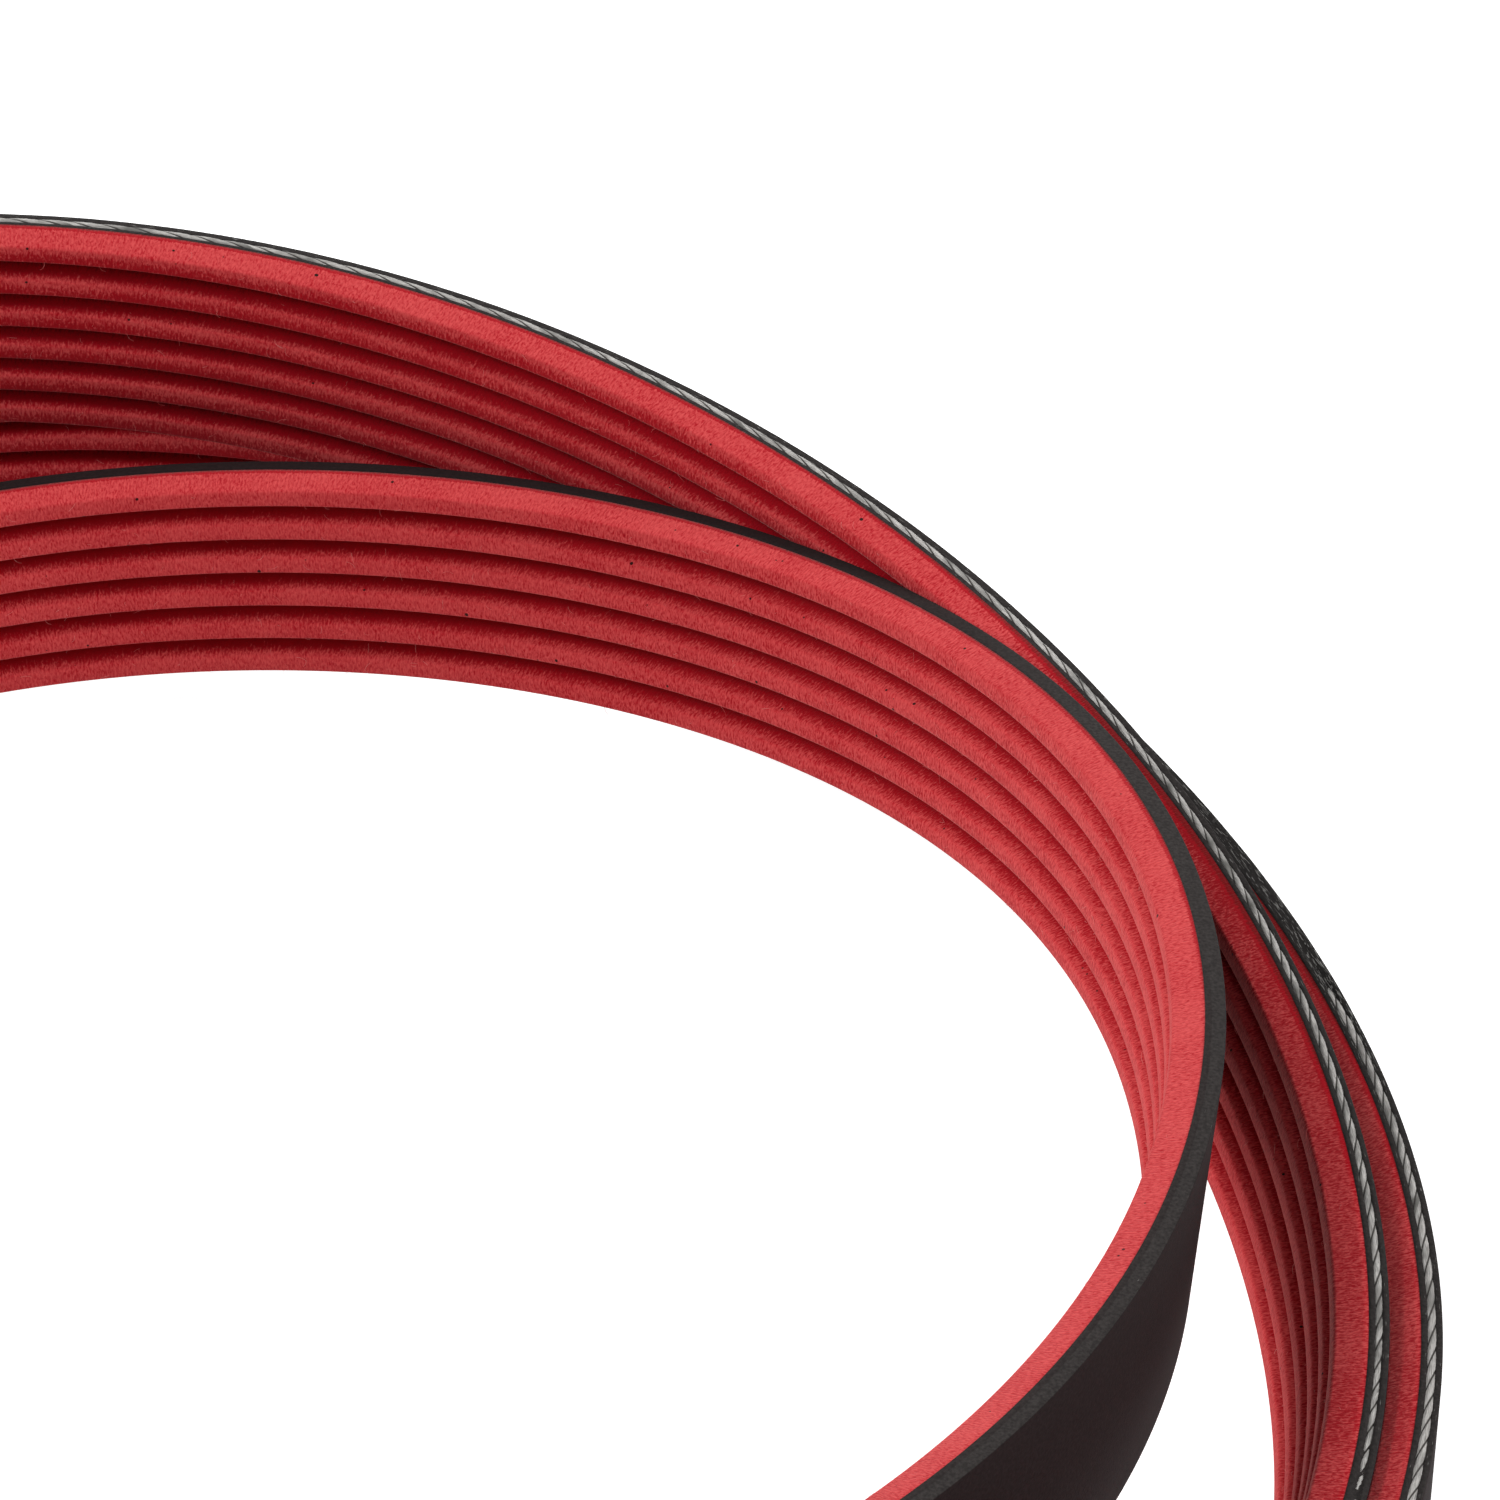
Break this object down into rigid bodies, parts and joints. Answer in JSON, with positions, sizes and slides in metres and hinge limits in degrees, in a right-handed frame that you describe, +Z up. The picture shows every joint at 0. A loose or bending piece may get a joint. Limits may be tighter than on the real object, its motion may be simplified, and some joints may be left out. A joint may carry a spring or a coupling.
{
  "type": "serpentine belt",
  "caption": "Endless multi-rib accessory drive belt with a fabric-faced ribbed side and a smooth back, standing on its edge in a loose coil.",
  "frame": {"origin": "centre of the coil's bounding box, on the surface that it stands on", "axes": "+Z up across the belt's width, +Y away from the camera across the coil, +X to the camera's right"},
  "size_m": [0.2584, 0.2798, 0.0445],
  "materials": {
    "belt_rubber": "matte, red fabric on the ribs and black rubber on the back"
  },
  "bodies": {
    "root": {"belt": "belt_rubber"}
  },
  "joints": []
}
